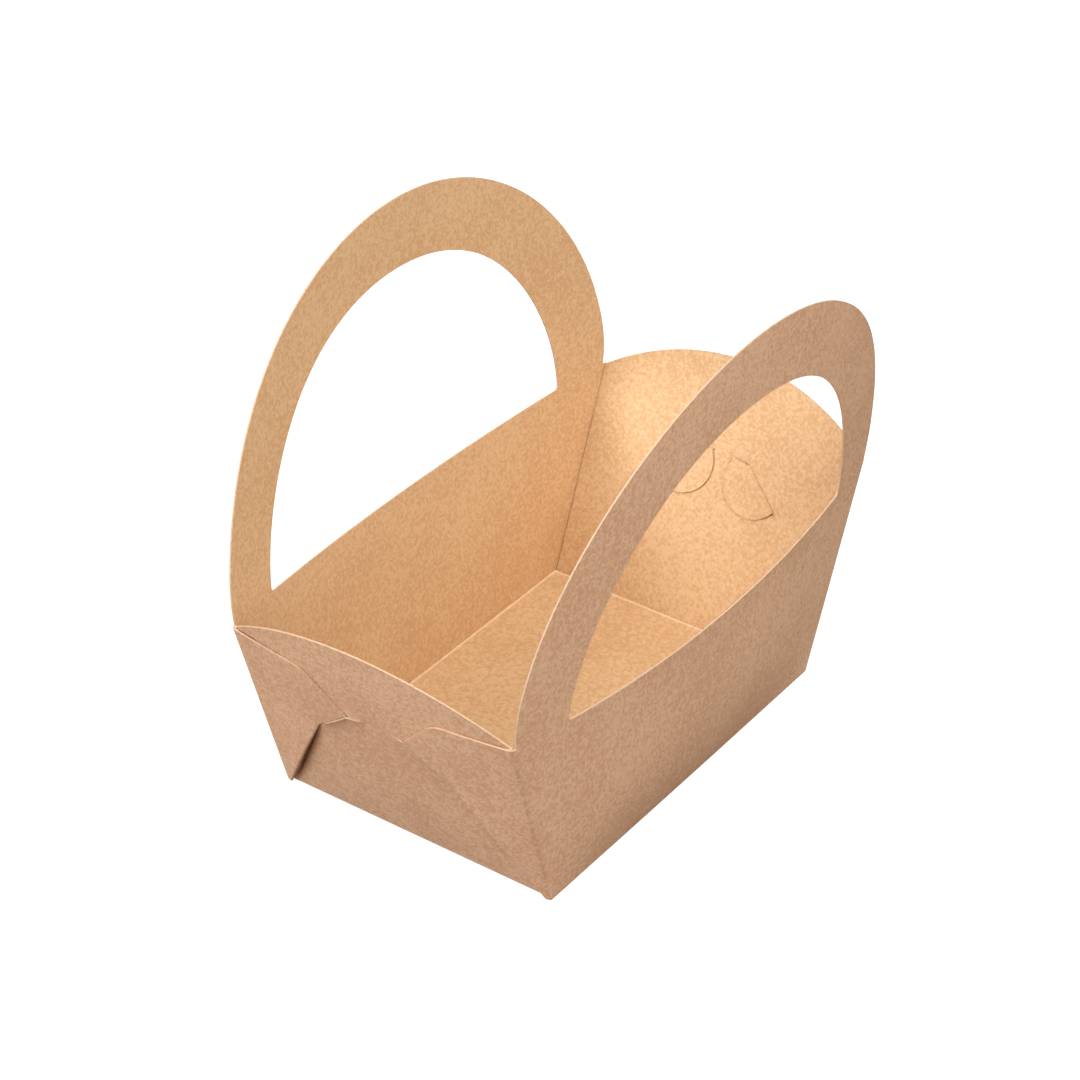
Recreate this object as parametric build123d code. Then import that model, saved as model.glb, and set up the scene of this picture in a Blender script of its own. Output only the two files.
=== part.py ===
from build123d import *
import os
from math import atan2, cos, hypot, radians, sqrt, tan

os.makedirs("parts", exist_ok=True)

# Board, in millimetres
board = 0.5
layer_gap = 0.15
fold_clearance = 0.2
crease_round = 0.8
crease_bead = 0.35
corner_bend_at_base = 0.5
corner_bend_at_rim = 1.7

# Tray below the handles
base_width = 95.0
base_length = 140.0
wall_height = 67.0
side_flare = 0.6
end_flare = 24.0
end_bow = 3.2
end_rise = 15.7

# Handle walls: bows at mid-length, and the arch with its opening
left_bow = 9.2
right_bow = 7.8
bow_ease = 0.23
handle_rise = 91.4
handle_foot_pull = 56.0
handle_crown_pull = 48.7
band_at_foot = 22.6
band_at_top = 22.5
sill_drop = 1.2
sill_sag = 2.7
opening_foot_pull = 26.8
opening_crown_pull = 51.5
opening_corner = 1.5

# Gusset fold, slit and lock tab, on the slope of the end wall, with heights as drops from the rim
fold_angle = 29.2
slit_low_drop = 27.4
slit_end_drop = 14.6
slit_spacing = 6.6
slit_hook = 6.8
slit_hook_slope = 7.0
slit_gap = 0.3
tab_clearance = 0.7
shoulder_across = 24.9
shoulder_drop = 0.8
shoulder_radius = 9.0

# Depths of the layers at an end, counted inwards from the outside of the gussets
inner_web_depth = board + layer_gap
end_wall_depth = 2 * inner_web_depth
end_face_depth = end_wall_depth + board
tab_depth = end_face_depth + layer_gap

# Slope of the end walls, heights of the handle, and how far the cutting shapes run past the board
end_slope = hypot(wall_height, end_flare)
end_lean = atan2(end_flare, wall_height)
crown_height = (end_slope + end_rise) * cos(end_lean)
handle_height = wall_height + handle_rise
overrun = 12.0


def climb(z):
    """Share of the wall height reached at height z."""
    return z / wall_height


def bow(mid_bow, z):
    """Outward bow of a handle wall at mid-length, quick above the crease and slower up the handle."""
    s = climb(z)
    return mid_bow * ((1 + bow_ease) * s - bow_ease * s * s)


def half_width(z):
    return base_width / 2 + side_flare * climb(z)


def half_length(z):
    return base_length / 2 + end_wall_depth + end_flare * climb(z)


def corner_radius(z):
    """Outside radius of the soft bend from a handle wall into its gussets."""
    return board + corner_bend_at_base + (corner_bend_at_rim - corner_bend_at_base) * climb(z)


def plan(z, inset):
    """Outline of the folded board at height z, this far in from its outside, with rounded corners."""
    x, y = half_width(z) - inset, half_length(z) - inset
    right, left, end = x + bow(right_bow, z), x + bow(left_bow, z), y + end_bow * climb(z)
    outline = make_face(
        [
            ThreePointArc((-x, -y), (0, -end), (x, -y)),
            ThreePointArc((x, -y), (right, 0), (x, y)),
            ThreePointArc((x, y), (0, end), (-x, y)),
            ThreePointArc((-x, y), (-left, 0), (-x, -y)),
        ]
    )
    return Pos(0, 0, z) * fillet(outline.vertices(), corner_radius(z) - inset)


def tub():
    """The handle walls and the gussets' outside layer as one open tub of board, not yet cut out."""
    above_handle = handle_height + overrun
    heights = [board, wall_height / 2, wall_height, (wall_height + above_handle) / 2, above_handle]
    return loft([plan(z, 0) for z in heights]) - loft([plan(z, board) for z in heights])


def end_block(depth, room):
    """Block as wide as the room between the corners, whose ends are the bowed surfaces at this depth."""
    sections = []
    for z in (board, crown_height + overrun):
        sagitta = end_bow * climb(z)
        radius = (half_width(z) ** 2 + sagitta**2) / (2 * sagitta)
        x = room(z)
        crown = half_length(z) + sagitta - depth
        side = crown - (radius - depth) + sqrt((radius - depth) ** 2 - x**2)
        outline = make_face(
            [
                ThreePointArc((-x, -side), (0, -crown), (x, -side)),
                Line((x, -side), (x, side)),
                ThreePointArc((x, side), (0, crown), (-x, side)),
                Line((-x, side), (-x, -side)),
            ]
        )
        sections.append(Pos(0, 0, z) * outline)
    return loft(sections, ruled=True)


def end_layers(depth, thickness, margin=fold_clearance):
    """Sheet of this thickness at this depth at both ends, clear of the rounded corners outside it."""

    def room(z):
        past_centre = max(corner_radius(z) - max(depth, inner_web_depth), 0)
        reach = sqrt((corner_radius(z) - board) ** 2 - past_centre**2)
        return half_width(z) - corner_radius(z) + reach - margin

    return end_block(depth, room) - end_block(depth + thickness, room)


# Outlines on the slope of an end wall: x across, y up the slope from the base crease
near_slope = Plane(
    origin=(0, -base_length / 2 - end_wall_depth, 0), x_dir=(1, 0, 0), z_dir=(0, -wall_height, -end_flare)
)


def from_corner(across, up):
    return Vector(across - base_width / 2, up)


def on_both_sides(outline):
    return outline + mirror(outline, about=Plane.YZ)


def at_both_ends(outline, inward, outward):
    """Prism of an outline across the near end wall, with its turned copy across the far one."""
    near = extrude(near_slope.offset(-inward) * outline, amount=inward + outward)
    return near + Rot(0, 0, 180) * near


def strip(start, end, width):
    """Narrow outline along a line, on its left."""
    along = (end - start).normalized()
    left = Vector(-along.Y, along.X) * width
    return make_face(Polyline(start, end, end + left, start + left, close=True))


fold_foot = from_corner(0, 0)
fold_height = end_slope - slit_low_drop
slit_low = from_corner(fold_height * tan(radians(fold_angle)), fold_height)
slit_end = Vector(-slit_spacing / 2, end_slope - slit_end_drop)
slit_apex = slit_end - Vector(slit_hook, 0).rotate(Axis.Z, slit_hook_slope)
shoulder = from_corner(shoulder_across, end_slope - shoulder_drop)
rim_corner = from_corner(0, end_slope)
tab_centre = (slit_low + slit_end) / 2
tab_radius = (slit_end - slit_low).length / 2 - tab_clearance


def gusset_outline():
    """Folded web: up the diagonal fold, along the slit, and back over the shoulder to the rim corner."""
    past_corner = Vector(-overrun, 0)
    edge = [fold_foot, slit_low, slit_apex, shoulder, rim_corner]
    outline = make_face(Polyline(*edge, rim_corner + past_corner, fold_foot + past_corner, close=True))
    at_shoulder = outline.vertices().sort_by_distance(shoulder)[0]
    return fillet(at_shoulder, shoulder_radius)


def tab_outline():
    """Round lock tab, from the slit down."""
    aside, below = Vector(overrun, 0), Vector(0, -2 * tab_radius)
    slit = [slit_low - aside, slit_low, slit_apex, slit_end, slit_end + aside]
    under_slit = make_face(Polyline(*slit, slit_end + aside + below, slit_low - aside + below, close=True))
    return Pos(tab_centre) * Circle(tab_radius) & under_slit


def end_wall_outline():
    """End wall with its arched top."""
    x = half_width(wall_height)
    return make_face(
        [
            Line((-x, 0), (x, 0)),
            Line((x, 0), (x, end_slope)),
            ThreePointArc((x, end_slope), (0, end_slope + end_rise), (-x, end_slope)),
            Line((-x, end_slope), (-x, 0)),
        ]
    )


def arch(foot, top, foot_pull, crown_pull):
    """Two mirrored curves from the feet of an arch, straight up at first and level at its top."""
    y, z = foot
    front = Bezier((-y, z), (-y, z + foot_pull), (-crown_pull, top), (0, top))
    back = Bezier((0, top), (crown_pull, top), (y, z + foot_pull), (y, z))
    return front, back


def above_arch():
    """Side view of everything that the handle's outside edge leaves out."""
    y = half_length(wall_height)
    far, low, high = 2 * y, wall_height, 2 * handle_height
    front, back = arch((y, low), handle_height, handle_foot_pull, handle_crown_pull)
    frame = Polyline((y, low), (far, low), (far, high), (-far, high), (-far, low), (-y, low))
    return make_face([front, back, frame])


def opening():
    """Side view of the hand opening, with its sagging sill."""
    y, sill_height = half_length(wall_height) - band_at_foot, wall_height - sill_drop
    front, back = arch((y, sill_height), handle_height - band_at_top, opening_foot_pull, opening_crown_pull)
    sill = ThreePointArc((y, sill_height), (0, sill_height - sill_sag), (-y, sill_height))
    outline = make_face([front, back, sill])
    return fillet(outline.vertices().group_by(Axis.Y)[0], opening_corner)


def handle_walls():
    """Handle walls with the gussets' outside layer: the tub, cut to its outlines."""
    across = 2 * base_width
    cut_out = tub() - extrude(Plane.YZ * above_arch(), amount=across, both=True)
    cut_out -= extrude(Plane.YZ * opening(), amount=across, both=True)
    whole_end = Pos(0, end_slope / 2) * Rectangle(2 * base_width, 2 * end_slope)
    between_gussets = whole_end - on_both_sides(gusset_outline())
    return cut_out - at_both_ends(between_gussets, board + layer_gap / 2, overrun)


def end_walls():
    """End walls with their arched tops, cut through by the slits."""
    depth_of_cut = end_face_depth + layer_gap / 2
    walls = end_layers(end_wall_depth, board) & at_both_ends(end_wall_outline(), depth_of_cut, overrun)
    slits = strip(slit_apex, slit_low, slit_gap) + strip(slit_end, slit_apex, slit_gap)
    through_wall = end_layers(end_wall_depth - layer_gap / 2, board + layer_gap)
    return walls - (through_wall & at_both_ends(on_both_sides(slits), depth_of_cut, overrun))


def gusset_folds():
    """Webs' inside layer with its two turned edges, at the end wall's side and along the diagonal."""
    webs = at_both_ends(on_both_sides(gusset_outline()), end_face_depth, overrun)
    web = end_layers(inner_web_depth, board) & webs
    turned = end_face_depth - inner_web_depth
    narrower = end_layers(inner_web_depth, turned, fold_clearance + board)
    side_fold = (end_layers(inner_web_depth, turned) - narrower) & webs
    fold_end = slit_low - (slit_low - fold_foot).normalized() * fold_clearance
    diagonals = at_both_ends(on_both_sides(strip(fold_foot, fold_end, board)), end_face_depth, overrun)
    diagonal_fold = end_layers(board / 2, board + layer_gap) & diagonals
    return web + side_fold + diagonal_fold


def lock_tabs():
    """Round tabs inside the end walls, and the necks that carry them through the slits."""
    reach = tab_depth + board
    tabs = end_layers(tab_depth, board) & at_both_ends(on_both_sides(tab_outline()), reach, overrun)
    necks = end_layers(board / 2, tab_depth) & at_both_ends(
        on_both_sides(strip(slit_low, slit_apex, board)), reach, overrun
    )
    return tabs + necks


def base():
    """Base panel, rounded along its creases, with the bead that creasing raises inside each of them."""
    width, length = 2 * half_width(board), 2 * (half_length(board) - end_wall_depth)
    panel = Pos(0, 0, board / 2) * Box(width, length, board)
    panel = fillet(panel.edges().group_by(Axis.Z)[0], crease_round * board)
    x, y = width / 2 - board - crease_bead, length / 2 - board - crease_bead
    beads = Rectangle(2 * x, 2 * y).edges()
    for bead in beads:
        across = Plane(origin=bead @ 0, z_dir=bead % 0)
        panel += Pos(0, 0, board) * sweep(across * Circle(crease_bead), path=bead)
    return panel


tray = handle_walls() + end_walls() + gusset_folds() + lock_tabs() + base()
export_step(tray, "parts/tray.step")
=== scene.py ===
import bmesh
import bpy
import numpy as np
from mathutils import Matrix, Vector


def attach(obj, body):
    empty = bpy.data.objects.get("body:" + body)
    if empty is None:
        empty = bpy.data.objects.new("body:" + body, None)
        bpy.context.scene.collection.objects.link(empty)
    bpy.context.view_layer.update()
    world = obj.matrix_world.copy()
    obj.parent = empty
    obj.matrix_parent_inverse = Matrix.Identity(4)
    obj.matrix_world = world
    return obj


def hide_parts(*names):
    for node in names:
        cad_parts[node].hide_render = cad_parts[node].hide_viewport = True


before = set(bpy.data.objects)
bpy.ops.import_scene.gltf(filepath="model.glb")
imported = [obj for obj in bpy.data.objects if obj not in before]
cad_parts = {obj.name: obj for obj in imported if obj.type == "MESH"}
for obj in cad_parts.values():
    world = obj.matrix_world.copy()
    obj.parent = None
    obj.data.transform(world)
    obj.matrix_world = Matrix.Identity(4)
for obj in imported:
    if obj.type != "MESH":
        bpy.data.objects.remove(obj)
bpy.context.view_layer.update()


# Corner gussets
# The tray is one blank of brown kraft board, cut and creased flat and then folded up without glue. At each
# corner a web joins a handle wall to an end wall. It is folded in two along its diagonal and lies outside
# the end wall, and its free edge runs from the rim corner over a shoulder to a slit in that wall.
board = 0.0005
base_width, base_length = 0.095, 0.140
wall_height, side_flare, end_flare = 0.067, 0.0006, 0.024
end_bow, end_bow_ease, bow_lowering = 0.0032, 1.2, 1.5
crease = 0.0002
base_middle = board / 2
layer = board + 0.00003
web_depth = board / 2 + layer
end_depth = board / 2 + 2 * layer
bend_at_base, bend_at_rim = 0.0008, 0.0014
end_slope = np.hypot(wall_height, end_flare)
cos_lean, sin_lean = wall_height / end_slope, end_flare / end_slope
foot = (base_middle + crease) / cos_lean
side_fold = 0.0011
tip_width = 0.0009
slit_low = np.array([0.02304, end_slope - 0.0274])
slit_apex = np.array([0.01005, end_slope - 0.01543])
slit_end = np.array([0.0033, end_slope - 0.0146])
shoulder = np.array([0.0226, end_slope - 0.0008])
shoulder_reach = 0.0042
fold_stand_off = {(-1, 1): 0.0020, (1, 1): 0.0011, (-1, -1): 0.0005, (1, -1): 0.0005}
stand_off_at_foot, stand_off_growth = 0.2, 2.3
inside_drop = {(-1, 1): 0.0016, (1, 1): 0.0002, (-1, -1): 0.0004, (1, -1): 0.0004}
even_drop, corner_drop_reach, drop_start, drop_ease = 0.0008, 0.009, 0.002, 0.6
web_steps, inside_steps, turn_steps, curl_steps = 16, 8, 8, 4
panels = []


def bend_over(start, corner, end, steps):
    """Soft bend: a parabola from start to end, whose tangents meet at the corner, as rows of points."""
    t = np.linspace(0, 1, steps + 1).reshape(-1, *[1] * np.ndim(start))
    return (1 - t) ** 2 * start + 2 * t * (1 - t) * corner + t**2 * end


def straight(start, end, steps):
    """Evenly spaced points of a straight line, without its first one."""
    return np.linspace(start, end, steps + 1)[1:]


def ruled(start, end, steps):
    """Grid of straight lines from each point of one edge to its partner on the other."""
    return np.linspace(start, end, steps + 1, axis=1)


def half_width(up):
    """Half the tray's width at its corners: half the base's, and a flare that grows with the way up."""
    return base_width / 2 + side_flare * up / end_slope


def bend_reach(up):
    """How far the soft bend reaches from the corner, along either wall, growing from base to rim."""
    return bend_at_base + (bend_at_rim - bend_at_base) * up / end_slope


def slope_point(x, up, depth):
    """Point of the near end, from x across and up its slope, at a depth inwards from the gussets' outside.

    Height over the wall's height gives a share. The point lies out by half the base and two layers less the
    depth, by the share of the flare, and by a bow that grows with up, faster at first, and falls off with the
    square of x. Outlines are cut square to the slope, so the more a point bows out, the lower it lies.
    """
    x, up, depth = np.broadcast_arrays(x, up, depth)
    along = up / end_slope
    grown = (1 + end_bow_ease) * along - end_bow_ease * along**2
    bow = end_bow * grown * (1 - (x / half_width(up)) ** 2)
    z = (up - (bow - depth) * sin_lean * np.minimum(bow_lowering * along, 1)) * cos_lean
    y = base_length / 2 + 2 * layer + end_flare * z / wall_height + bow - depth
    return np.stack([x, -y, z], -1)


tip = np.array([base_width / 2 - bend_at_base - tip_width, foot])
rim_corner = np.array([half_width(end_slope) - bend_at_rim, end_slope])
to_slit = shoulder + shoulder_reach * (slit_apex - shoulder) / np.linalg.norm(slit_apex - shoulder)
to_rim = shoulder + shoulder_reach * (rim_corner - shoulder) / np.linalg.norm(rim_corner - shoulder)
fold_rows, slit_rows = 30, 12
above_slit_rows, shoulder_rows, below_rim_rows = 10, 7, 12
fold_line = np.linspace(tip, slit_low, fold_rows + 1)
slit_line = straight(slit_low, slit_apex, slit_rows)
above_slit = straight(slit_apex, to_slit, above_slit_rows)
shoulder_bend = bend_over(to_slit, shoulder, to_rim, shoulder_rows)[1:]
below_rim = straight(to_rim, rim_corner, below_rim_rows)
free_edge = np.concatenate([above_slit, shoulder_bend, below_rim])
outline = np.concatenate([fold_line, slit_line, free_edge])
rows = np.concatenate([fold_line[:, 1], slit_line[:, 1], straight(slit_apex[1], end_slope, len(free_edge))])
away_from_fold = np.array([tip[1] - slit_low[1], slit_low[0] - tip[0]]) / np.linalg.norm(slit_low - tip)
away_from_slit = np.array([slit_low[1] - slit_apex[1], slit_apex[0] - slit_low[0]])
away_from_slit /= np.linalg.norm(away_from_slit)
gusset_side = {}

# a diagonal fold stands off a little at its foot, most below its middle, and not at all at the slit
climbed = np.clip(rows / slit_low[1], 0, 1)
stand_off_shape = (1 - climbed) * (stand_off_at_foot + stand_off_growth * climbed)
above_apex = np.clip((rows - slit_apex[1]) / (end_slope - slit_apex[1]), 0, 1)[:, None]

for (side, end), stand_off in fold_stand_off.items():
    turned = np.array([side, end, 1])
    off = stand_off * stand_off_shape[:, None]
    corner_edge = np.stack([half_width(rows) - bend_reach(rows), rows], -1)
    flat = ruled(corner_edge, outline, web_steps)
    outer_depth = board / 2 - off * np.linspace(0, 1, web_steps + 1)
    outer = slope_point(flat[..., 0], flat[..., 1], outer_depth) * turned
    panels.append(outer)
    gusset_side[side, end] = outer[:, 0]
    # the fold turns by half a circle from the outside layer to the inside one
    turn = np.linspace(0, np.pi, turn_steps + 1)[:, None, None]
    on_slope = fold_line + away_from_fold * layer / 2 * np.sin(turn)
    fold_depth = board / 2 + layer / 2 * (1 - np.cos(turn[..., 0])) - off[: fold_rows + 1, 0]
    panels.append(slope_point(on_slope[..., 0], on_slope[..., 1], fold_depth) * turned)
    inside_edge = np.stack([half_width(rows) - side_fold, rows], -1)
    inside_outline = np.stack([np.minimum(outline[:, 0], inside_edge[:, 0]), outline[:, 1]], -1)
    flat = ruled(inside_edge, inside_outline, inside_steps)
    # the inside layer's free edge lies a little lower than the outside one's, most at the rim corner
    from_side = inside_edge[:, :1] - flat[..., 0]
    drop = even_drop + inside_drop[side, end] * np.clip(1 - from_side / corner_drop_reach, 0, 1)
    lowered = flat[..., 1] - drop * above_apex**drop_ease * np.clip(from_side / drop_start, 0, 1)
    inside_depth = web_depth - off * np.linspace(0, 1, inside_steps + 1)
    panels.append(slope_point(flat[..., 0], lowered, inside_depth) * turned)
    # its foot curls in under the corner
    inwards = np.array([0, 1, 0]) * turned
    down = outer[0] * [1, 1, 0] + [0, 0, base_middle]
    panels.append(bend_over(outer[0], down, down + crease * inwards, curl_steps))


# Handle walls
# Each side of the blank is a wall that rises into an arch with a hand opening, all in one with the gussets
# at its ends. It stands nearly upright and springs outwards at mid-length, the left one a little more.
mid_bow = {-1: 0.0092, 1: 0.0078}
low_belly = {-1: 0.0, 1: 2.3}
bow_ease = 0.23
handle_height, handle_foot_pull, handle_crown_pull = 0.15838, 0.056, 0.0487
opening_top, opening_foot_pull, opening_crown_pull = 0.1359, 0.0268, 0.0515
opening_half, opening_corner = 0.0727, 0.0015
sill_height, sill_sag = 0.0658, 0.0027
arch_swing_height = 0.016
sill_points, sill_bend_steps, foot_steps, arch_steps, band_steps = 22, 3, 10, 60, 10
corner_steps, base_bend_steps = 6, 5


def half_length(z):
    """Half the length of a handle wall at height z, to where the middle of its board meets the gussets'.

    It is half the base's length and the two layers, and a flare that grows with the height.
    """
    return base_length / 2 + 2 * layer + end_flare * z / wall_height - board / 2


def wall_point(y, z, side):
    """Point of a handle wall's board. It bows outwards as a parabola along y, by a parabola of the height.

    Below the rim a cubic of the height is added to the parabola, for the belly above the base crease.
    """
    share = z / wall_height
    belly = low_belly[side] * share * np.clip(1 - share, 0, None) ** 2
    bow = mid_bow[side] * ((1 + bow_ease) * share - bow_ease * share**2 + belly)
    x = base_width / 2 + side_flare * share - board / 2 + bow * (1 - (y / half_length(z)) ** 2)
    return np.stack([side * x, y, z], -1)


def cubic(a, b, c, d, steps):
    """Evenly stepped points of a cubic curve from a to d, drawn towards b and c."""
    t = np.linspace(0, 1, steps + 1)[:, None]
    return (1 - t) ** 3 * a + 3 * (1 - t) ** 2 * t * b + 3 * (1 - t) * t**2 * c + t**3 * d


def both_halves(half):
    """Line in y and z from the far half's points, in order from the near end to the far one."""
    return np.concatenate([(half * [-1, 1])[::-1], half[1:]])


sill_y = np.linspace(0, opening_half - opening_corner, sill_points)
sill = np.stack([sill_y, sill_height - sill_sag * (1 - (sill_y / opening_half) ** 2)], -1)
sill_corner = np.array([opening_half, sill[-1, 1]])
opening_foot = sill_corner + [0, opening_corner]
sill_bend = bend_over(sill[-1], sill_corner, opening_foot, sill_bend_steps)[1:]
handle_foot = np.array([half_length(wall_height) - bend_at_rim, wall_height])
foot_line = straight(opening_foot, handle_foot, foot_steps)
wall_top = both_halves(np.concatenate([sill, sill_bend, foot_line]))
foot_z = base_middle + crease
foot_half = half_length(foot_z) - bend_reach(foot)
along_wall = np.linspace(-1, 1, len(wall_top))
wall_foot = np.stack([along_wall * foot_half, np.full(len(wall_top), foot_z)], -1)
climb = ((rows - foot) / (end_slope - foot))[:, None]
# the grid's columns arrive upright at the sill, and stay straight only at the wall's two ends
lean_in = 1 - (1 - climb) ** (2 - np.abs(along_wall) ** 6)
lower_y = wall_foot[:, 0] + (wall_top[:, 0] - wall_foot[:, 0]) * lean_in
lower_z = wall_foot[:, 1] + (wall_top[:, 1] - wall_foot[:, 1]) * climb
lower_wall = np.stack([lower_y, lower_z], -1)
corner_y = half_length(wall_height)
outside_arch = cubic(
    [corner_y, wall_height],
    [corner_y, wall_height + handle_foot_pull],
    [handle_crown_pull, handle_height],
    [0, handle_height],
    arch_steps,
)
# the handle's edge swings out from the soft corner bend, just above the rim
above_rim = np.clip((outside_arch[:, 1] - wall_height) / arch_swing_height, 0, 1)
outside_arch[:, 0] -= bend_at_rim * (1 - above_rim) ** 2
inside_arch = cubic(
    opening_foot,
    [opening_half, sill_height + opening_foot_pull],
    [opening_crown_pull, opening_top],
    [0, opening_top],
    arch_steps,
)
handle = ruled(both_halves(inside_arch[::-1]), both_halves(outside_arch[::-1]), band_steps)
half_base_x = base_width / 2 - board / 2 - crease
half_base_y = base_length / 2 - board / 2 - crease

for side in (-1, 1):
    wall = wall_point(lower_wall[..., 0], lower_wall[..., 1], side)
    panels.append(wall)
    panels.append(wall_point(handle[..., 0], handle[..., 1], side))
    meet = wall[0] * [1, 1, 0] + [0, 0, base_middle]
    base_edge = np.stack(np.broadcast_arrays(side * half_base_x, along_wall * half_base_y, base_middle), -1)
    panels.append(bend_over(wall[0], meet, base_edge, base_bend_steps))
    for end, last in ((1, 0), (-1, -1)):
        corner_z = rows * cos_lean
        corner_x = side * (half_width(rows) - board / 2)
        corner = np.stack([corner_x, -end * half_length(corner_z), corner_z], -1)
        corner_bend = bend_over(wall[:, last], corner, gusset_side[side, end], corner_steps)
        panels.append(corner_bend)
        swing = np.linspace(0, np.pi / 2, corner_steps + 1)[:, None]
        inwards = np.concatenate([-side * np.cos(swing), end * np.sin(swing), 0 * swing], -1)
        down = corner_bend[:, 0] * [1, 1, 0] + [0, 0, base_middle]
        panels.append(bend_over(corner_bend[:, 0], down, down + crease * inwards, curl_steps))


# End walls
# The ends lean outwards and have arched tops. Two slits in each take the gussets' tabs, with a short hook
# that holds them. Their side edges fold round into the gussets' inside layer.
end_rise = 0.0157
slot_width, slot_widening = 0.00042, 6
hook_width, hook_widening = 0.0001, 8
lip_bulge = {-1: 0.0014, 1: 0.0009}
lip_reach = {-1: 0.004, 1: 0.006}
upper_lip_share = 0.85
corner_sink = {(-1, 1): 0.0038, (1, 1): 0.0010, (-1, -1): 0.0003, (1, -1): 0.0003}
sink_reach = {-1: 0.0008, 1: 0.005}
sink_ease, sink_fade, sink_end = 0.2, 0.6, 0.96
hook_lip_way = np.array([-0.12, -0.99])
side_x = half_width(rows) - side_fold
# shares of the way along the hook and then along the slit, closely spaced where the diagonal fold arrives
middle_steps, outside_steps = 4, 8
hook_share = np.append(np.linspace(0, 0.95, 8), 1)[:, None]
before_low = [17, 15, 13, 11.5, 10, 8.5, 7, 6, 5, 4, 3, 2.2, 1.7, 1.3, 1, 0.75, 0.5, 0.25, 0]
slit_share = 1 - np.array(before_low)[:, None] / before_low[0]


def slot_row(widen):
    """Right half of the line of both slits, from the middle to the side.

    It is the upper lip's line with widen 0, and the lower lip's, moved down by the slits' width, with 1.
    """
    hook_lip = np.minimum(hook_share * hook_widening, 1) * hook_width
    hook_lip[-1] = slot_width
    slit_lip = slot_width * np.minimum(1, slot_widening * (1 - slit_share))
    middle = np.linspace([0, slit_end[1]], slit_end, middle_steps + 1)
    hook = slit_end + hook_share * (slit_apex - slit_end) + widen * hook_lip * hook_lip_way
    slit = slit_apex + slit_share * (slit_low - slit_apex) + widen * slit_lip * away_from_slit
    outside = np.linspace(slit_low, [side_x[fold_rows], slit_low[1]], outside_steps + 1)
    return np.concatenate([middle, hook[1:], slit[1:], outside[1:]])


def full_row(half):
    """Line across an end wall from the points of its right half."""
    return np.concatenate([(half * [-1, 1])[::-1], half[1:]])


def both_sides(half):
    """Values across an end wall from those of its right half."""
    return np.concatenate([half[::-1], half[1:]])


upper_lip, lower_lip = full_row(slot_row(0)), full_row(slot_row(1))
on_side = np.where(upper_lip[:, 0] < 0, -1, 1)
across = np.abs(upper_lip[:, 0])
top_x = upper_lip[:, 0] / across[0] * side_x[-1]
top_radius = (side_x[-1] ** 2 + end_rise**2) / (2 * end_rise)
top_up = end_slope + np.sqrt(top_radius**2 - top_x**2) - (top_radius - end_rise)
# below the slits the grid's columns fan out, and one of them lies right behind each diagonal fold
from_fold = np.clip(slit_low[0] - across, 0, None)
behind = np.clip((across - slit_low[0]) / (across[0] - slit_low[0]), 0, 1)
foot_x = tip[0] - from_fold - (tip[0] - slit_low[0]) * (from_fold / slit_low[0]) ** 2
foot_x = on_side * (foot_x + behind * (side_x[0] - tip[0]))
end_foot = np.stack([foot_x, np.full(len(foot_x), foot)], -1)
below = ((rows[: fold_rows + 1] - foot) / (slit_low[1] - foot))[:, None, None]
above = ((rows[fold_rows:] - slit_low[1]) / (end_slope - slit_low[1]))[:, None, None]
below_slits = end_foot + (lower_lip - end_foot) * below
above_slits = upper_lip + (np.stack([top_x, top_up], -1) - upper_lip) * above
# the lock tabs push the slits' lips outwards: the lower one most at the apex, the upper one beside its hook
bulge = np.where(on_side < 0, lip_bulge[-1], lip_bulge[1])
reach = np.where(on_side < 0, lip_reach[-1], lip_reach[1])
flat_middle, flat_outside = np.zeros(middle_steps), np.zeros(outside_steps)
hook_open = hook_share[:, 0] ** 0.5
slit_open = 1 - slit_share[1:, 0] ** 6
lower_open = both_sides(np.concatenate([flat_middle, hook_open, slit_open, flat_outside]))
upper_open = upper_lip_share * hook_open * (1 - hook_share[:, 0] ** 6)
upper_open = both_sides(np.concatenate([flat_middle, upper_open, 0 * slit_open, flat_outside]))
below_lip = (lower_lip[:, 1] - below_slits[..., 1]) / reach
above_lip = (above_slits[..., 1] - upper_lip[:, 1]) / reach
lower_depth = end_depth - bulge * lower_open * np.exp(-below_lip)
upper_depth = end_depth - bulge * upper_open * np.exp(-above_lip)
# the end wall's corner sinks in behind its diagonal fold, not at its foot and less towards the slit
past_fold = (np.abs(below_slits[..., 0]) - slit_low[0]) * away_from_fold[0]
past_fold += (below_slits[..., 1] - slit_low[1]) * away_from_fold[1]
past_fold /= np.where(on_side < 0, sink_reach[-1], sink_reach[1])
sunk = np.where(behind > 0, 1 - behind, np.exp(-(past_fold**2)))
eased_in = np.minimum(below[..., 0] / sink_ease, 1)
sunk *= eased_in**2 * (3 - 2 * eased_in) * np.clip((sink_end - below[..., 0]) / sink_fade, 0, 1)
spread = foot_x / side_x[0]

for end in (1, -1):
    turned = np.array([1, end, 1])
    sink = sunk * np.where(on_side < 0, corner_sink[-1, end], corner_sink[1, end])
    lower = slope_point(below_slits[..., 0], below_slits[..., 1], lower_depth + sink) * turned
    panels.append(lower)
    panels.append(slope_point(above_slits[..., 0], above_slits[..., 1], upper_depth) * turned)
    meet = lower[0] * [1, 1, 0] + [0, 0, base_middle]
    base_edge = np.stack(np.broadcast_arrays(spread * half_base_x, -end * half_base_y, base_middle), -1)
    panels.append(bend_over(lower[0], meet, base_edge, base_bend_steps))
    for side in (-1, 1):
        turn = np.linspace(0, np.pi, turn_steps + 1)[:, None]
        fold_x = side_x + layer / 2 * np.sin(turn)
        fold_depth = end_depth - layer / 2 * (1 - np.cos(turn))
        panels.append(slope_point(fold_x, rows, fold_depth) * [side, end, 1])


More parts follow.
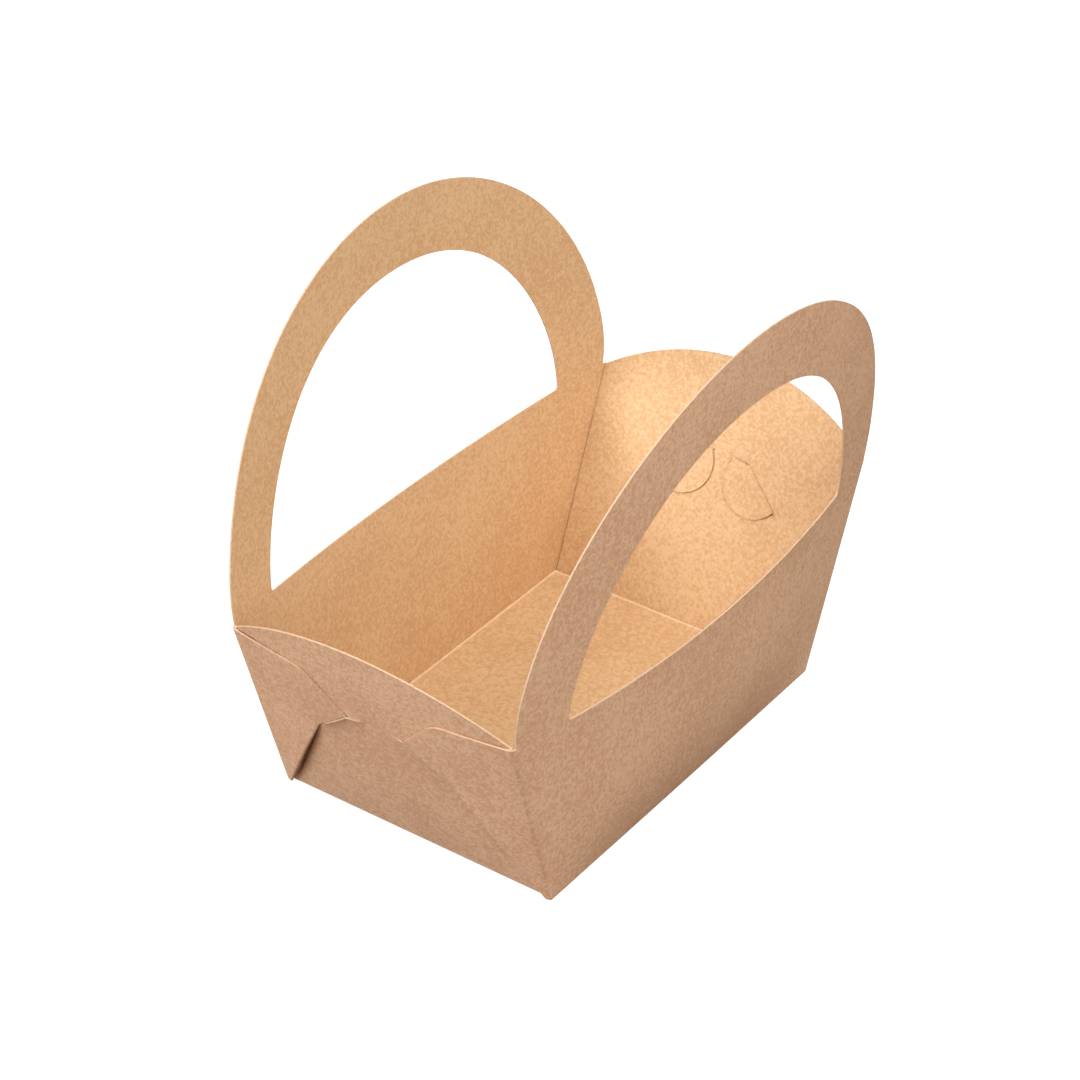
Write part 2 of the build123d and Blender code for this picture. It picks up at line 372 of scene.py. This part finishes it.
# Lock tabs
# Each gusset's outside layer ends in a round tab. It goes in through the slit and lies against the inside
# of the end wall, and the slit's hook keeps it there.
tab_clearance = 0.0007
neck_reach, curl_ease = 0.00045, 1.5
tab_lift = {(-1, 1): 0.0003, (1, 1): 0.0003, (-1, -1): 0.0002, (1, -1): 0.00005}
neck_steps, hook_steps, tab_steps = 8, 8, 14
tab_middle = (slit_low + slit_end) / 2
tab_radius = np.linalg.norm(slit_end - slit_low) / 2 - tab_clearance
slit_rows_line = outline[fold_rows : fold_rows + slit_rows + 1]
tab_top = slit_rows_line + away_from_slit * neck_reach
tab_top = np.concatenate([tab_top, straight(tab_top[-1], slit_end + [0, hook_width], hook_steps)])
start_angle = np.arctan2(*(slit_low - tab_middle)[::-1])
angles = np.linspace(start_angle, start_angle - np.pi, len(tab_top))
tab_edge = tab_middle + tab_radius * np.stack([np.cos(angles), np.sin(angles)], -1)

for (side, end), lift in tab_lift.items():
    turned = np.array([side, end, 1])
    through = np.linspace(0, 1, neck_steps + 1)[:, None]
    neck = slit_rows_line[None] + away_from_slit * neck_reach * through[..., None]
    neck_depth = board / 2 + (end_depth + layer - board / 2) * through**2 * (3 - 2 * through)
    panels.append(slope_point(neck[..., 0], neck[..., 1], neck_depth) * turned)
    tab = ruled(tab_top, tab_edge, tab_steps)
    curl = lift * np.linspace(0, 1, tab_steps + 1) ** curl_ease
    panels.append(slope_point(tab[..., 0], tab[..., 1], end_depth + layer + curl) * turned)


# Base panel
# The middle panel of the blank lies flat on the table. The creasing has raised a low bead along each of its
# four folds, on the inside, mitred at the corners.
bead_width, bead_height = 0.0009, 0.0003
bead_steps = 8
beads = []
flat_x = spread[:, None] * (half_base_x - bead_width)
flat_y = along_wall * (half_base_y - bead_width)
panels.append(np.stack(np.broadcast_arrays(flat_x, flat_y, base_middle), -1))
inwards = np.linspace(0, bead_width, bead_steps + 1)[:, None]
bead_z = base_middle + bead_height * np.sin(np.pi * inwards / bead_width) ** 2
bead_x, bead_y = half_base_x - inwards, half_base_y - inwards

for way in (-1, 1):
    beads.append(np.stack(np.broadcast_arrays(way * bead_x, along_wall * bead_y, bead_z), -1))
    beads.append(np.stack(np.broadcast_arrays(spread * bead_x, way * bead_y, bead_z), -1))


# The folded board
# All the panels are one sheet of board, so they are joined along their shared edges and given the board's
# thickness. Its inside is a little yellower than its outside and its cut edges are more even in colour. The
# beads along its creases are painted paler, a painted highlight for the light that they catch.
def kraft(name, colour, darker, speck_share):
    """Uncoated board: soft clouds, fine mottling, finer fibres and a few dark specks over its colour."""
    material = bpy.data.materials.new(name)
    material.use_nodes = True
    nodes, links = material.node_tree.nodes, material.node_tree.links
    shader = nodes["Principled BSDF"]
    shader.inputs["Roughness"].default_value = 0.88
    shader.inputs["Specular IOR Level"].default_value = 0.25
    place = nodes.new("ShaderNodeTexCoord")

    def noise(scale, detail, shift):
        """Node value of a noise with a shift of its own, so that no two are scaled copies about a point."""
        mapping = nodes.new("ShaderNodeMapping")
        mapping.inputs["Location"].default_value = (shift, -shift, 2 * shift)
        texture = nodes.new("ShaderNodeTexNoise")
        texture.inputs["Scale"].default_value = scale
        texture.inputs["Detail"].default_value = detail
        texture.inputs["Roughness"].default_value = 0.6
        links.new(place.outputs["Object"], mapping.inputs["Vector"])
        links.new(mapping.outputs["Vector"], texture.inputs["Vector"])
        return texture.outputs["Fac"]

    def ranged(value, low, high, out_low, out_high):
        """Node value carried evenly from one range to another, and kept within it."""
        node = nodes.new("ShaderNodeMapRange")
        node.inputs["From Min"].default_value = low
        node.inputs["From Max"].default_value = high
        node.inputs["To Min"].default_value = out_low
        node.inputs["To Max"].default_value = out_high
        links.new(value, node.inputs["Value"])
        return node.outputs["Result"]

    def math(kind, a, b):
        """Node value of one sum or product of two values, each of them a number or another node's."""
        node = nodes.new("ShaderNodeMath")
        node.operation = kind
        for socket, value in zip(node.inputs, (a, b)):
            if isinstance(value, float):
                socket.default_value = value
            else:
                links.new(value, socket)
        return node.outputs["Value"]

    clouds = ranged(noise(30, 3, 1), 0.35, 0.65, -0.25, 0.25)
    mottling = ranged(noise(500, 2, 2), 0.3, 0.7, -0.4, 0.4)
    fibres = ranged(noise(1000, 2, 3), 0.3, 0.7, -0.85, 0.85)
    share = math("ADD", math("ADD", clouds, mottling), fibres)
    share = math("ADD", share, 0.5)
    mix = nodes.new("ShaderNodeMix")
    mix.data_type = "RGBA"
    mix.inputs["A"].default_value = (*darker, 1)
    mix.inputs["B"].default_value = (*colour, 1)
    links.new(share, mix.inputs["Factor"])
    specks = nodes.new("ShaderNodeTexVoronoi")
    specks.inputs["Scale"].default_value = 130
    links.new(place.outputs["Object"], specks.inputs["Vector"])
    size = ranged(specks.outputs["Distance"], 0.02, 0.05, 1.0, 0.0)
    chosen = nodes.new("ShaderNodeSeparateColor")
    links.new(specks.outputs["Color"], chosen.inputs["Color"])
    picked = ranged(chosen.outputs["Red"], 1 - speck_share, 1 - speck_share + 0.02, 0.0, 1.0)
    speckled = nodes.new("ShaderNodeMix")
    speckled.data_type = "RGBA"
    links.new(math("MULTIPLY", size, picked), speckled.inputs["Factor"])
    links.new(mix.outputs["Result"], speckled.inputs["A"])
    speckled.inputs["B"].default_value = (0.12, 0.07, 0.04, 1)
    links.new(speckled.outputs["Result"], shader.inputs["Base Color"])
    bump = nodes.new("ShaderNodeBump")
    bump.inputs["Strength"].default_value = 0.1
    bump.inputs["Distance"].default_value = 0.00003
    links.new(share, bump.inputs["Height"])
    links.new(bump.outputs["Normal"], shader.inputs["Normal"])
    return material


def joined_sheet(name, plain, creased, weld=0.000006):
    """One mesh of all the grids' four-sided faces, with the points that coincide made one.

    The faces of the plain grids take the first material, and those of the creased ones the fourth.
    """
    grids = plain + creased
    corners, faces, first = [], [], 0
    for grid in grids:
        count = grid.shape[0] * grid.shape[1]
        index = first + np.arange(count).reshape(grid.shape[:2])
        around = [index[:-1, :-1], index[1:, :-1], index[1:, 1:], index[:-1, 1:]]
        faces.append(np.stack(around, -1).reshape(-1, 4))
        corners.append(grid.reshape(-1, 3))
        first += count
    mesh = bpy.data.meshes.new(name)
    mesh.from_pydata(np.concatenate(corners).tolist(), [], np.concatenate(faces).tolist())
    plain_faces = sum(len(f) for f in faces[: len(plain)])
    # faces of the creased grids take slot 3, whose thickened other side gets the crease beads' painted
    # highlight
    looks = np.where(np.arange(len(mesh.polygons)) < plain_faces, 0, 3)
    mesh.polygons.foreach_set("material_index", looks)
    shape = bmesh.new()
    shape.from_mesh(mesh)
    bmesh.ops.remove_doubles(shape, verts=shape.verts, dist=weld)
    bmesh.ops.dissolve_degenerate(shape, edges=shape.edges, dist=weld / 3)
    bmesh.ops.recalc_face_normals(shape, faces=shape.faces)
    shape.to_mesh(mesh)
    shape.free()
    # the outside of the board is the base's underside
    normals = np.empty((len(mesh.polygons), 3), np.float32)
    middles = np.empty((len(mesh.polygons), 3), np.float32)
    mesh.polygons.foreach_get("normal", normals.ravel())
    mesh.polygons.foreach_get("center", middles.ravel())
    if normals[middles[:, 2] < board, 2].sum() > 0:
        mesh.flip_normals()
    return mesh


outside_colour, outside_dark = (0.725, 0.4675, 0.29), (0.59, 0.3375, 0.195)
inside_colour, inside_dark = (0.72, 0.48, 0.257), (0.62, 0.37, 0.185)
edge_colour, edge_dark = (0.62, 0.415, 0.265), (0.555, 0.37, 0.23)
# painted highlight: the crease beads' colours are paler than the board's, for the light that the beads catch
crease_painted_highlight, crease_painted_highlight_dark = (0.82, 0.58, 0.36), (0.76, 0.52, 0.31)
sheet = joined_sheet("tray", panels, beads)
tray = bpy.data.objects.new("tray_board", sheet)
bpy.context.scene.collection.objects.link(tray)
sheet.materials.append(kraft("kraft_outside", outside_colour, outside_dark, 0.05))
sheet.materials.append(kraft("kraft_inside", inside_colour, inside_dark, 0.05))
sheet.materials.append(kraft("kraft_cut_edge", edge_colour, edge_dark, 0.02))
sheet.materials.append(sheet.materials[0])
# painted highlight on the inside faces of the crease beads
sheet.materials.append(kraft("kraft_crease_painted_highlight", crease_painted_highlight, crease_painted_highlight_dark, 0.02))
sheet.materials.append(sheet.materials[2])
thickness = tray.modifiers.new("thickness", "SOLIDIFY")
thickness.thickness = board
thickness.offset = 0
thickness.material_offset = 1
thickness.material_offset_rim = 2
bpy.context.view_layer.update()
folded = bpy.data.meshes.new_from_object(tray.evaluated_get(bpy.context.evaluated_depsgraph_get()))
tray.modifiers.clear()
tray.data = folded
folded.shade_smooth()
folded.set_sharp_from_angle(angle=np.radians(40))
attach(tray, "root")
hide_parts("tray")


# Floor
# A plain floor under the tray, wide enough to fill the view. Seen directly it is white and keeps the tray's
# soft shadow, and towards the tray it throws back only the little warm light of a brown table.
def seen_directly(nodes, links):
    """Node value that is 1 for rays from the camera or a glossy surface, and 0 for all others."""
    path = nodes.new("ShaderNodeLightPath")
    seen = nodes.new("ShaderNodeMath")
    seen.operation = "MAXIMUM"
    links.new(path.outputs["Is Camera Ray"], seen.inputs[0])
    links.new(path.outputs["Is Glossy Ray"], seen.inputs[1])
    return seen.outputs["Value"]


floor_mesh = bpy.data.meshes.new("floor")
floor_half = 3.0
corner_signs = ((-1, -1), (1, -1), (1, 1), (-1, 1))
floor_mesh.from_pydata([(x * floor_half, y * floor_half, 0) for x, y in corner_signs], [], [(0, 1, 2, 3)])
floor = bpy.data.objects.new("floor", floor_mesh)
bpy.context.scene.collection.objects.link(floor)
floor_material = bpy.data.materials.new("pale_floor")
floor_material.use_nodes = True
nodes, links = floor_material.node_tree.nodes, floor_material.node_tree.links
floor_shader = nodes["Principled BSDF"]
floor_shader.inputs["Roughness"].default_value = 1.0
floor_shader.inputs["Specular IOR Level"].default_value = 0.0
seen = seen_directly(nodes, links)
tint = nodes.new("ShaderNodeMix")
tint.data_type = "RGBA"
tint.inputs["A"].default_value = (0.17, 0.10, 0.055, 1)
tint.inputs["B"].default_value = (0.4, 0.4, 0.4, 1)
links.new(seen, tint.inputs["Factor"])
links.new(tint.outputs["Result"], floor_shader.inputs["Base Color"])
glow = nodes.new("ShaderNodeMath")
glow.operation = "MULTIPLY"
links.new(seen, glow.inputs[0])
glow.inputs[1].default_value = 0.8
floor_shader.inputs["Emission Color"].default_value = (1, 1, 1, 1)
links.new(glow.outputs["Value"], floor_shader.inputs["Emission Strength"])
floor_mesh.materials.append(floor_material)


# Light
# Soft studio light: a large lamp in front on the left, one high up on the right, a weak one in front on the
# right, and an even pale surround.
def lamp(name, place, aim, size, power, colour):
    """Square area lamp at a place, turned towards the point that it lights."""
    data = bpy.data.lights.new(name, "AREA")
    data.color = colour
    data.size = size
    data.energy = power
    holder = bpy.data.objects.new(name, data)
    bpy.context.scene.collection.objects.link(holder)
    holder.location = place
    holder.rotation_mode = "QUATERNION"
    holder.rotation_quaternion = (Vector(aim) - Vector(place)).to_track_quat("-Z", "Y")


lamp("key", (-0.95, -1.6, 1.1), (0, 0, 0.05), 0.9, 36, (0.94, 1.0, 1.1))
lamp("top", (0.95, -0.5, 1.95), (0, 0, 0.05), 0.9, 32, (0.98, 1.0, 1.02))
lamp("fill", (1.3, -1.2, 0.8), (0, 0, 0.05), 1.0, 8, (0.94, 1.0, 1.1))
world = bpy.data.worlds.new("surround")
bpy.context.scene.world = world
world.use_nodes = True
nodes, links = world.node_tree.nodes, world.node_tree.links
surround = nodes["Background"]
surround.inputs["Color"].default_value = (1, 1, 1, 1)
strength = nodes.new("ShaderNodeMapRange")
strength.inputs["To Min"].default_value = 0.5
strength.inputs["To Max"].default_value = 1.0
links.new(seen_directly(nodes, links), strength.inputs["Value"])
links.new(strength.outputs["Result"], surround.inputs["Strength"])


# Camera
# It stands about a metre away, to the right of the near end and well above it, turned slightly on its axis.
camera_place = Vector((0.43281, -0.67521, 0.58660))
camera_aim = Vector((-0.00723, -0.00130, 0.06442))
camera_roll = np.radians(2.53)
camera_data = bpy.data.cameras.new("camera")
camera_data.lens = 108.25
camera = bpy.data.objects.new("camera", camera_data)
bpy.context.scene.collection.objects.link(camera)
looking = (camera_aim - camera_place).to_track_quat("-Z", "Y").to_matrix().to_4x4()
camera.matrix_world = Matrix.Translation(camera_place) @ looking @ Matrix.Rotation(camera_roll, 4, "Z")
bpy.context.scene.camera = camera
bpy.context.scene.view_settings.view_transform = "Standard"
